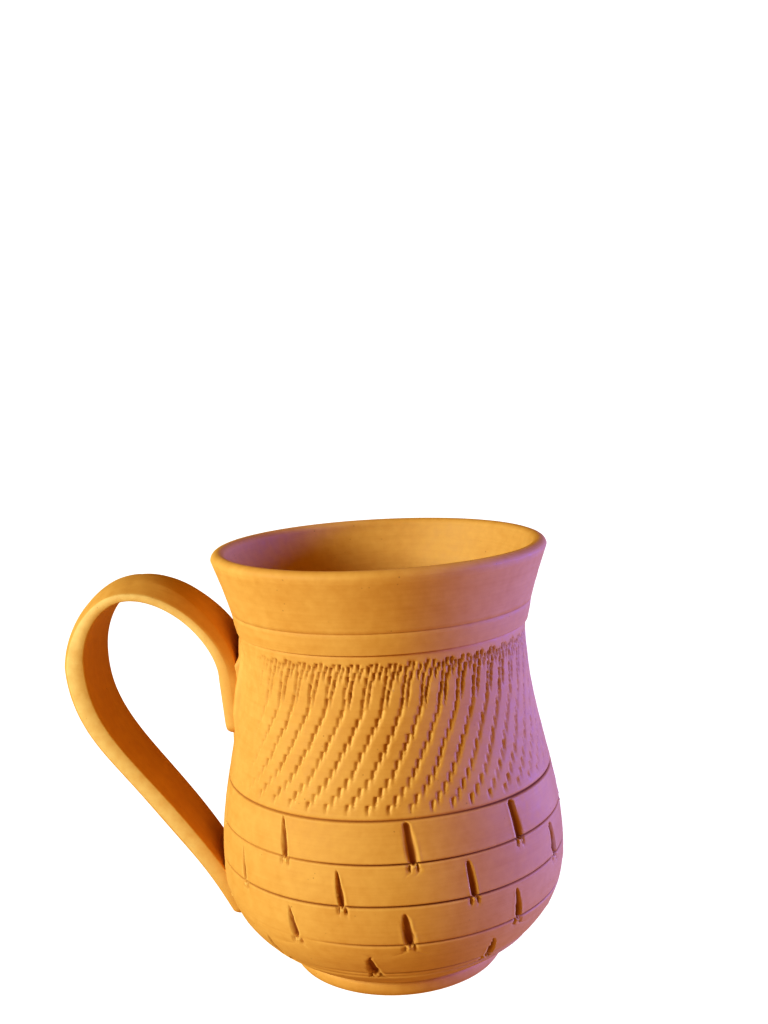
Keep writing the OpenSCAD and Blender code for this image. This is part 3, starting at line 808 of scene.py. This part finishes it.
def half_section(w, t):
    """One half of the section from the middle of the inner face to the middle of the outer: a flat or
    bowed face, a small round, an upright side, an elliptic shoulder and a crowned face."""
    shoulder, crown, bow = mixed(SHOULDERS), mixed(CROWNS), mixed(BOWS)
    face = np.linspace(0, 1, FACE_POINTS) * (w / 2 - EDGE_ROUND)
    turn = EDGE_TURNS[None, :]
    lean = np.linspace(0, np.pi / 2, SHOULDER_POINTS)[None, :]
    low = np.maximum(EDGE_ROUND, mixed(SIDE_SHARES) * t)
    rim = np.maximum(t - crown, low)
    edge = w / 2 - np.minimum(shoulder, w / 2 - EDGE_ROUND)
    top = np.linspace(1, 0, FACE_POINTS)[None, 1:]
    round_in, round_up = 1 - np.cos(lean) ** SHOULDER_POWER, np.sin(lean) ** SHOULDER_POWER
    y = [face, w / 2 - EDGE_ROUND * (1 - np.sin(turn)), w / 2 - (w / 2 - edge) * round_in, edge * top]
    h = [-bow * (1 - (2 * face / w) ** 2), EDGE_ROUND * (1 - np.cos(turn)) + 0 * w,
         low + (rim - low) * round_up, t - (t - rim) * top**CROWN_POWER]
    return np.concatenate(y, 1), np.concatenate(h, 1)


print("strap width from", STRAP_WS[0] / MM, "to", STRAP_WS[-1] / MM, "mm")

# %% Rings of the strap
TAB_ROUND, TAIL_ROUND, END_ROUND = 3 * MM, 2 * MM, 2 * MM
WIDTH_SWAY, THICK_SWAY = 0.9 * MM, 0.08
# Seed and number of waves of each wander along or across the strap.
WIDTH_WAVES, THICK_WAVES = (70, 15), (71, 13)
DRIFT_WAVES, BROAD_WAVES, FINE_WAVES = (72, 5), (73, 11), (74, 17)
PULL_LINE, FINE_LINE, LINE_DRIFT, LINE_FADE = 0.07 * MM, 0.5, 0.6, (0.3 * MM, 3 * MM)
# The sides get a painted highlight: how near the edge it begins and is full, and how little of it shows
# near the joints.
HIGHLIGHT_FROM, HIGHLIGHT_FULL, TAB_HIGHLIGHT, HIGHLIGHT_RUN = 0.5 * MM, 0.2 * MM, 0.2, 14 * MM


def corner_inset(d, radius):
    """How far a rounded corner draws one side in, at a distance d from the end."""
    return (radius - np.sqrt(radius**2 - np.clip(radius - d, 0, None) ** 2))[:, None]


def pulled(y, w, sway):
    """Lines that the pulling hand left: waves across the strap that drift slowly along it."""
    drift = LINE_DRIFT * wander(sway, *DRIFT_WAVES)[:, None]
    broad = wander(y / w * TURN + drift, *BROAD_WAVES)
    return broad + FINE_LINE * wander(y / w * TURN - drift, *FINE_WAVES)


def strap_rings():
    """Rings of the strap: both halves of the section at every station, with pulled lines and a slight
    unevenness of width and thickness. Also the way round the section, and the painted highlight on
    the sides."""
    to_tab, to_tail = length, length[-1] - length
    sway = length / length[-1] * np.pi
    w = mixed(STRAP_WS) - 2 * (corner_inset(to_tab, TAB_ROUND) + corner_inset(to_tail, TAIL_ROUND))
    w = w + WIDTH_SWAY * wander(sway, *WIDTH_WAVES)[:, None]
    t = mixed(STRAP_TS) * (1 + THICK_SWAY * wander(sway, *THICK_WAVES))[:, None]
    y, h = half_section(w, t - corner_inset(to_tail, END_ROUND))
    y, h = np.concatenate([y, -y[:, -2:0:-1]], 1), np.concatenate([h, h[:, -2:0:-1]], 1)
    middle = soft_step(w / 2 - np.abs(y), *LINE_FADE)
    h = h + PULL_LINE * pulled(y, w, sway) * middle + corner_inset(to_tab, END_ROUND) * (h < TAB_T / 2)
    flat = path[:, None, :] + h[..., None] * outward[:, None, :]
    # Painted highlight along both sides of the strap, less near the tab and the tail.
    side = soft_step(np.abs(y), w / 2 - HIGHLIGHT_FROM, w / 2 - HIGHLIGHT_FULL)
    side = side * (TAB_HIGHLIGHT + (1 - TAB_HIGHLIGHT) * soft_step(length, HIGHLIGHT_RUN, 2 * HIGHLIGHT_RUN)[:, None])
    side = side * soft_step(to_tail, 0, 2 * HIGHLIGHT_RUN)[:, None]
    return np.stack([-flat[..., 0], y, flat[..., 1]], -1), np.abs(y) + h, side


rings, girth, side = strap_rings()
points, faces = skin([rings])
mug_strap = make_piece(
    "mug_strap", points, faces,
    along=np.concatenate([np.repeat(length, rings.shape[1]), ENDS]),
    girth=np.concatenate([girth.ravel(), ENDS]),
    side=np.concatenate([side.ravel(), ENDS]))
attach(mug_strap, "root")
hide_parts("strap_handle")

# %% [markdown]
# ## The slip at both ends
# Slip is clay stirred into cream. It glues the strap on, squeezes out round it and is wiped flat with
# a wet finger, which leaves a low bead along the strap, a crease beside it and streaks that feather
# out on the wall. Beside the tab it also fills the corner with a soft fillet. A Boolean union with a
# smoothing could blend the clay, but it would fuse the pieces. So each patch is a thin lens laid over
# the wall: its upper skin stands proud in the middle and dips below the wall at its border, and its
# lower skin lies inside the clay.

# %% Sheet under the slip
PATCH_SPOKES, PATCH_POWER = 160, 3.2


def patch_sheet(half_w, low, high, reach):
    """Sideways and upward distances of a patch: a rounded rectangle that grows by shares of its size."""
    spoke = np.arange(PATCH_SPOKES) * TURN / PATCH_SPOKES
    c, s = np.cos(spoke), np.sin(spoke)
    size = (np.abs(c) ** PATCH_POWER + np.abs(s) ** PATCH_POWER) ** (-1 / PATCH_POWER)
    across = reach[:, None] * half_w * (size * c)[None, :]
    return across, (low + high) / 2 + reach[:, None] * (high - low) / 2 * (size * s)[None, :]


def strap_gap(across, z):
    """How far the strap's outer face stands off the round wall, where it rises from the tab."""
    face = (path + mixed(STRAP_TS) * outward)[span <= 1]
    off = np.interp(z, face[:, 1], face[:, 0]) - wall_radius(z)
    return off + across**2 / (2 * wall_radius(z))


# %% Wedge and fillet beside the tab
WEDGE_TOP, WEDGE_RUN, WEDGE_OVER, WEDGE_EDGE = 83 * MM, 2.5 * MM, 0.4 * MM, 1 * MM
WEDGE_FILL, WEDGE_MOST = 0.3 * MM, 4.5 * MM
FILLET_H, FILLET_W, FILLET_TOP_RUN, FILLET_LOW_RUN = 1.1 * MM, 3.2 * MM, 10 * MM, 6 * MM


def tab_fill(across, z, edge):
    """Height of the slip squeezed out at the tab, and a share that is 1 there and 0 above: a wedge that
    fills the gap under the rising strap, or a fillet that falls away beside its edge, the higher one."""
    beyond = np.abs(across) - edge
    held = soft_step(WEDGE_TOP - z, 0, WEDGE_RUN)
    gap = np.clip(strap_gap(across, z) + WEDGE_FILL, 0, WEDGE_MOST)
    wedge = held * soft_step(WEDGE_OVER - beyond, 0, WEDGE_EDGE) * gap
    fillet = FILLET_H * np.clip(1 - beyond / FILLET_W, 0, 1) ** 2
    fillet = fillet * soft_step(WEDGE_TOP - z, 0, FILLET_TOP_RUN)
    fillet = fillet * soft_step(z, TAB_LOW_Z, TAB_LOW_Z + FILLET_LOW_RUN)
    return np.maximum(wedge, fillet), held


# %% A wiped patch of slip
PATCH_SPREAD, PATCH_T, PATCH_UNDER, PATCH_DIP, PATCH_FULL = 4 * MM, 0.2 * MM, 0.8 * MM, 0.5 * MM, 0.7
PATCH_REACH = np.concatenate([np.linspace(0.04, 0.6, 13), np.linspace(0.63, 1, 26)])
BEAD_W = 0.9 * MM
STREAK_H, STREAK_WAVES, STREAK_BEND, STREAK_RUN = 0.12 * MM, 16, 0.15, 4 * MM
CREASE_D, CREASE_HALF, CREASE_SWAY, CREASE_RUN = 0.5 * MM, 0.3 * MM, 0.3 * MM, 6 * MM
CREASE_SEED, CREASE_WAVES = 5, 5
# Painted shade in the crease, less where slip fills it, and painted light along the streaks.
CREASE_SHADE, FILLED_SHADE, STREAK_SHADE = 1.6, 0.9, 0.15 * MM


def slip_patch(name, node, edge, bead, bead_off, crease_off, at_tab, key):
    """A closed lens over the box of a packed slip pad, spread past it: a bead and a crease run beside
    the strap's edge, streaks run down it, the slip at the tab fills its corners, and the lens thins
    to nothing at the border."""
    low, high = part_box(node)
    half_w = high.y + PATCH_SPREAD
    across, z = patch_sheet(half_w, low.z - PATCH_SPREAD, high.z + PATCH_SPREAD, PATCH_REACH)
    fade = 1 - soft_step(PATCH_REACH, PATCH_FULL, 1)[:, None]
    beside = np.exp(-((np.abs(across) - edge - bead_off) / BEAD_W) ** 2)
    streaks = wander(across / half_w * np.pi + STREAK_BEND * np.sin(z / STREAK_RUN), key, STREAK_WAVES)
    sway = wander(z / CREASE_RUN, key + CREASE_SEED, CREASE_WAVES)
    crease_at = edge + crease_off + CREASE_SWAY * sway
    crease = CREASE_D * np.exp(-(((np.abs(across) - crease_at) / CREASE_HALF) ** 2))
    filled, held = tab_fill(across, z, edge) if at_tab else (0, 0)
    proud = fade * (PATCH_T + bead * beside + STREAK_H * streaks - crease) - PATCH_DIP * (1 - fade)
    angle = JOINT_TURN - across / wall_radius(z)
    upper = on_wall(angle, z, -proud - filled)
    lower = on_wall(angle, z, PATCH_UNDER + 0 * z)[::-1]
    points, faces = skin([upper, lower])
    # Painted shade in the crease, less where the tab's slip fills it, and painted highlight on raised
    # streaks with painted shade between them.
    tone = fade * ((CREASE_SHADE - FILLED_SHADE * held) * crease - STREAK_SHADE * streaks)
    cut = np.concatenate([tone.ravel(), np.zeros(lower[..., 0].size), ENDS]) / MM
    piece = make_piece(name, points, faces[:, ::-1], cut=cut)
    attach(piece, "root")
    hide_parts(node)
    return piece


upper_smear = slip_patch(
    "upper_slip_smear", "upper_slip", edge=STRAP_WS[0] / 2,
    bead=0.6 * MM, bead_off=1.5 * MM, crease_off=0.35 * MM, at_tab=True, key=80)
lower_smear = slip_patch(
    "lower_slip_smear", "lower_slip", edge=STRAP_WS[4] / 2,
    bead=0.3 * MM, bead_off=2.2 * MM, crease_off=0.9 * MM, at_tab=False, key=81)

# %% [markdown]
# ## Fired clay
# Bare earthenware is matte and warm, never one even colour. The fire leaves soft clouds, the body
# holds darker grains and small pits, and turning leaves fine lines. A painted image would need a
# flat layout of every piece. All of it is worked out in the piece's own space instead, so it sits
# still on the clay. The cut mark of each point paints shade into the carving and the slip's creases,
# and paints highlights on raised burrs and crumbs, on the lit side of each scoop and on the strap's
# sides.

# %% Helpers for finishes
def add(tree, kind, links=None, values=None, **settings):
    """One shader node with its settings, its plain values and its links from other sockets."""
    made = tree.nodes.new(kind)
    for key, value in settings.items():
        setattr(made, key, value)
    for key, value in (values or {}).items():
        made.inputs[key].default_value = value
    for key, socket in (links or {}).items():
        tree.links.new(socket, made.inputs[key])
    return made


def ranged(tree, socket, low, high, to_low, to_high):
    """A value moved from one range to another and held there."""
    values = {"From Min": low, "From Max": high, "To Min": to_low, "To Max": to_high}
    return add(tree, "ShaderNodeMapRange", {"Value": socket}, values).outputs["Result"]


def maths(tree, operation, a, b):
    """Two values joined by one operation; b may be a socket or a number."""
    made = add(tree, "ShaderNodeMath", {0: a}, operation=operation)
    if isinstance(b, (int, float)):
        made.inputs[1].default_value = b
    else:
        tree.links.new(b, made.inputs[1])
    return made.outputs[0]


def weighed(tree, *parts):
    """The sum of some values, each times its own weight."""
    total = None
    for socket, weight in parts:
        part = maths(tree, "MULTIPLY", socket, weight)
        total = part if total is None else maths(tree, "ADD", total, part)
    return total


def noise(tree, vector, scale, detail=3.0, roughness=0.55):
    """Noise of a scale, as a value about a half."""
    values = {"Scale": scale, "Detail": detail, "Roughness": roughness}
    return add(tree, "ShaderNodeTexNoise", {"Vector": vector}, values).outputs["Fac"]


def tint(tree, factor, a, b):
    """Colour a turning into colour b by a factor; each may be a socket or a plain colour."""
    made = add(tree, "ShaderNodeMix", {0: factor}, data_type="RGBA")
    for index, colour in ((6, a), (7, b)):
        if isinstance(colour, tuple):
            made.inputs[index].default_value = (*colour, 1)
        else:
            tree.links.new(colour, made.inputs[index])
    return made.outputs[2]


def point_mark(tree, name):
    """The value that each point of a piece carries under a name, or 0 where it has none."""
    return add(tree, "ShaderNodeAttribute", attribute_name=name).outputs["Fac"]


# %% Colour of the clay
PALE_CLAY, DEEP_CLAY = (0.80, 0.425, 0.105), (0.66, 0.30, 0.055)
# Dark grains, then the painted shade that fills the cuts.
DARK_GRAIN, PAINTED_SHADE_CLAY = (0.30, 0.13, 0.03), (0.30, 0.085, 0.012)
# Painted highlights: on burrs, crumbs and the lit side of the scoops, and on the strap's sides.
PAINTED_HIGHLIGHT_CLAY, SIDE_HIGHLIGHT_CLAY = (0.88, 0.52, 0.14), (0.86, 0.55, 0.19)
CLOUD_SHARE, MOTTLE_SHARE, LINE_SHARE, SPECK_SHARE = 0.55, 0.3, 0.18, 0.5
# From which values to which, and the factors that they turn into.
TONE_RANGE = (0.325, 0.685, 0, 1)
PAINTED_SHADE_RANGE, PAINTED_HIGHLIGHT_RANGE = (0.12, 1.0, 0, 0.9), (-0.02, -0.12, 0, 0.6)
PATCHY_RANGE = (0.8, 1.15, 0.55, 0.95)


def clay_colour(tree, clouds, mottle, lines, speck, painted_light_mark):
    """Two tones mixed by clouds, mottle and lines, then painted shade in the cuts, painted highlight on
    burrs, crumbs and the lit side of the scoops, painted highlight on the strap's sides, and dark grains."""
    tone = weighed(tree, (clouds, CLOUD_SHARE), (mottle, MOTTLE_SHARE), (lines, LINE_SHARE))
    colour = tint(tree, ranged(tree, tone, *TONE_RANGE), DEEP_CLAY, PALE_CLAY)
    # Painted shade in the cuts where the mark is positive, painted highlight where it is negative.
    colour = tint(tree, ranged(tree, painted_light_mark, *PAINTED_SHADE_RANGE), colour, PAINTED_SHADE_CLAY)
    colour = tint(tree, ranged(tree, painted_light_mark, *PAINTED_HIGHLIGHT_RANGE), colour, PAINTED_HIGHLIGHT_CLAY)
    # Painted highlight along the strap's sides, patchy with the clouds and mottle.
    patchy = ranged(tree, maths(tree, "ADD", clouds, mottle), *PATCHY_RANGE)
    colour = tint(tree, maths(tree, "MULTIPLY", point_mark(tree, "side"), patchy), colour, SIDE_HIGHLIGHT_CLAY)
    return tint(tree, maths(tree, "MULTIPLY", speck, SPECK_SHARE), colour, DARK_GRAIN)


# %% Finish of the clay
CLOUD_SCALE, MOTTLE_SCALE, GRAIN_SCALE, SPECK_SCALE, RARE_SCALE = 38, 420, 2600, 420, 130
CLOUD_DETAIL, RARE_DETAIL, LINE_ROUGHNESS = 4, 2, 0.65
SPECK_RANGE, RARE_RANGE = (0.05, 0.1, 1, 0), (0.5, 0.62, 0, 1)
GRAIN_H, PIT_D, BUMP_STRENGTH, BUMP_H = 0.25, 0.5, 0.6, 0.12 * MM
ROUGH_RANGE, TORN_ROUGH_RANGE = (0.3, 0.7, 0.62, 0.78), (0.1, 0.6, 0.6, 1)
CLAY_GLOSS = 0.3


def clay_finish(name, line_vector, line_depth):
    """Fired clay: its colour from clouds, mottle, grains and lines along a vector of its own, rougher
    in the cuts, with bump for the lines, the grain and the pits."""
    finish = bpy.data.materials.new(name)
    finish.use_nodes = True
    tree = finish.node_tree
    tree.nodes.clear()
    place = add(tree, "ShaderNodeTexCoord").outputs["Object"]
    clouds = noise(tree, place, CLOUD_SCALE, CLOUD_DETAIL)
    mottle = noise(tree, place, MOTTLE_SCALE, CLOUD_DETAIL)
    lines = noise(tree, line_vector(tree, place), 1, CLOUD_DETAIL, LINE_ROUGHNESS)
    grain = noise(tree, place, GRAIN_SCALE)
    cells = add(tree, "ShaderNodeTexVoronoi", {"Vector": place}, {"Scale": SPECK_SCALE})
    rare = ranged(tree, noise(tree, place, RARE_SCALE, RARE_DETAIL), *RARE_RANGE)
    speck = maths(tree, "MULTIPLY", ranged(tree, cells.outputs["Distance"], *SPECK_RANGE), rare)
    # The cut mark carries the painted shade and painted highlights of each point.
    painted_light_mark = point_mark(tree, "cut")
    colour = clay_colour(tree, clouds, mottle, lines, speck, painted_light_mark)
    height = weighed(tree, (lines, line_depth), (grain, GRAIN_H), (speck, -PIT_D))
    bump = add(tree, "ShaderNodeBump", {"Height": height}, {"Strength": BUMP_STRENGTH, "Distance": BUMP_H})
    torn_rough = ranged(tree, painted_light_mark, *TORN_ROUGH_RANGE)
    rough = maths(tree, "MAXIMUM", ranged(tree, mottle, *ROUGH_RANGE), torn_rough)
    links = {"Base Color": colour, "Roughness": rough, "Normal": bump.outputs[0]}
    shader = add(tree, "ShaderNodeBsdfPrincipled", links, {"Specular IOR Level": CLAY_GLOSS})
    add(tree, "ShaderNodeOutputMaterial", {"Surface": shader.outputs[0]})
    return finish


# %% Lines in the clay
TURNED_SCALE, PULLED_SCALE, WIPED_SCALE = (22, 22, 1500), (900, 900, 18), (30, 420, 60)
TURNED_D, PULLED_D, WIPED_D = 0.36, 0.35, 0.7


def stretched(tree, vector, scale):
    """A vector with each axis scaled, to draw noise out into lines."""
    return add(tree, "ShaderNodeMapping", {"Vector": vector}, {"Scale": scale}).outputs[0]


def turned_lines(tree, place):
    """Fine lines round the pot: noise that changes fast with height and slowly sideways."""
    return stretched(tree, place, TURNED_SCALE)


def pulled_lines(tree, place):
    """Lines along the strap: noise that changes fast round its girth and slowly along it."""
    parts = add(tree, "ShaderNodeSeparateXYZ", {0: place})
    across = {0: parts.outputs[1], 1: point_mark(tree, "girth"), 2: point_mark(tree, "along")}
    return stretched(tree, add(tree, "ShaderNodeCombineXYZ", across).outputs[0], PULLED_SCALE)


def wiped_lines(tree, place):
    """Streaks of a wet finger down the wall."""
    return stretched(tree, place, WIPED_SCALE)


mug_body.data.materials.append(clay_finish("turned_clay", turned_lines, TURNED_D))
mug_strap.data.materials.append(clay_finish("pulled_clay", pulled_lines, PULLED_D))
smear_finish = clay_finish("wiped_slip", wiped_lines, WIPED_D)
for smeared in (upper_smear, lower_smear):
    smeared.data.materials.append(smear_finish)
print("finishes:", [m.name for m in bpy.data.materials if m.users])

# %% [markdown]
# ## Floor and studio light
# The mug stands on a pale floor that runs on out of sight. A broad cool-white lamp stands low on the
# left, and a violet one on the right a little behind, so the wall runs from straw to lilac. The floor
# and the surroundings look white to the camera but throw a warm light on the mug, which keeps the
# shaded clay brown. More lamps could do that, but each would add a highlight of its own.

# %% Floor
FLOOR_HALF, FLOOR_GREY, FLOOR_ROUGH = 4.0, (0.12, 0.12, 0.12, 1), 0.9
WARM, WHITE = (1.0, 0.62, 0.06), (1.0, 1.0, 1.0)
# How strongly each glows on the mug, and to the camera.
FLOOR_GLOW, AIR_GLOW = (0.33, 0.8), (0.27, 1.0)


def glow(tree, colour_socket, strength_socket, strengths):
    """A warm glow for the light that falls on the mug, and a white one for what the camera sees."""
    seen = add(tree, "ShaderNodeLightPath").outputs["Is Camera Ray"]
    tree.links.new(tint(tree, seen, WARM, WHITE), colour_socket)
    tree.links.new(ranged(tree, seen, 0, 1, *strengths), strength_socket)


def make_floor():
    """A flat square under the foot, from a grid of four corners."""
    corner = np.array([[-1, -1, 0], [1, -1, 0], [1, 1, 0], [-1, 1, 0]]) * FLOOR_HALF
    mesh = bpy.data.meshes.new("floor")
    mesh.from_pydata(corner.tolist(), [], [(0, 1, 2, 3)])
    floor = bpy.data.objects.new("floor", mesh)
    bpy.context.scene.collection.objects.link(floor)
    finish = bpy.data.materials.new("pale_floor")
    finish.use_nodes = True
    shader = finish.node_tree.nodes["Principled BSDF"]
    shader.inputs["Base Color"].default_value = FLOOR_GREY
    shader.inputs["Roughness"].default_value = FLOOR_ROUGH
    glow(finish.node_tree, shader.inputs["Emission Color"], shader.inputs["Emission Strength"], FLOOR_GLOW)
    mesh.materials.append(finish)
    floor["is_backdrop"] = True
    print("floor", 2 * FLOOR_HALF, "m wide")


make_floor()

# %% Lamps and surroundings
MID = Vector((0, 0, HEIGHT / 2))
CAMERA_HEADING = -85
LAMP_OFF, LAMP_W, LAMP_H = 1.0, 0.4, 0.3


def make_lamp(name, turn, rise, watts, colour):
    """A broad lamp that faces the mug, at a turn to the right of the camera and a rise above level."""
    lamp = bpy.data.objects.new(name, bpy.data.lights.new(name, "AREA"))
    lamp.data.shape, lamp.data.size, lamp.data.size_y = "RECTANGLE", LAMP_W, LAMP_H
    lamp.data.energy, lamp.data.color = watts, colour
    heading, rise = math.radians(CAMERA_HEADING + turn), math.radians(rise)
    flat = Vector((math.cos(heading), math.sin(heading), 0)) * math.cos(rise)
    lamp.location = MID + LAMP_OFF * (flat + Vector((0, 0, math.sin(rise))))
    lamp.rotation_mode = "QUATERNION"
    lamp.rotation_quaternion = (MID - lamp.location).to_track_quat("-Z", "Y")
    bpy.context.scene.collection.objects.link(lamp)
    print(name, "at", [round(c, 2) for c in lamp.location], "m")


make_lamp("white_lamp", turn=-60, rise=20, watts=10, colour=(0.66, 0.85, 1.0))
make_lamp("lilac_lamp", turn=97, rise=5, watts=28, colour=(0.09, 0.13, 1.0))

world = bpy.data.worlds.new("studio")
bpy.context.scene.world = world
world.use_nodes = True
air = world.node_tree.nodes["Background"]
glow(world.node_tree, air.inputs["Color"], air.inputs["Strength"], AIR_GLOW)
bpy.context.scene.view_settings.view_transform = "Standard"
bpy.context.scene.view_settings.look = "High Contrast"

# %% [markdown]
# ## Size
# The dressed mug has to keep the imported model's size, so both boxes are printed side by side.

# %% Print the sizes
visual_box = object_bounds()
for name, box in (("cad", cad_box), ("visual", visual_box)):
    print(name, [[round(v / MM, 2) for v in c] for c in box])
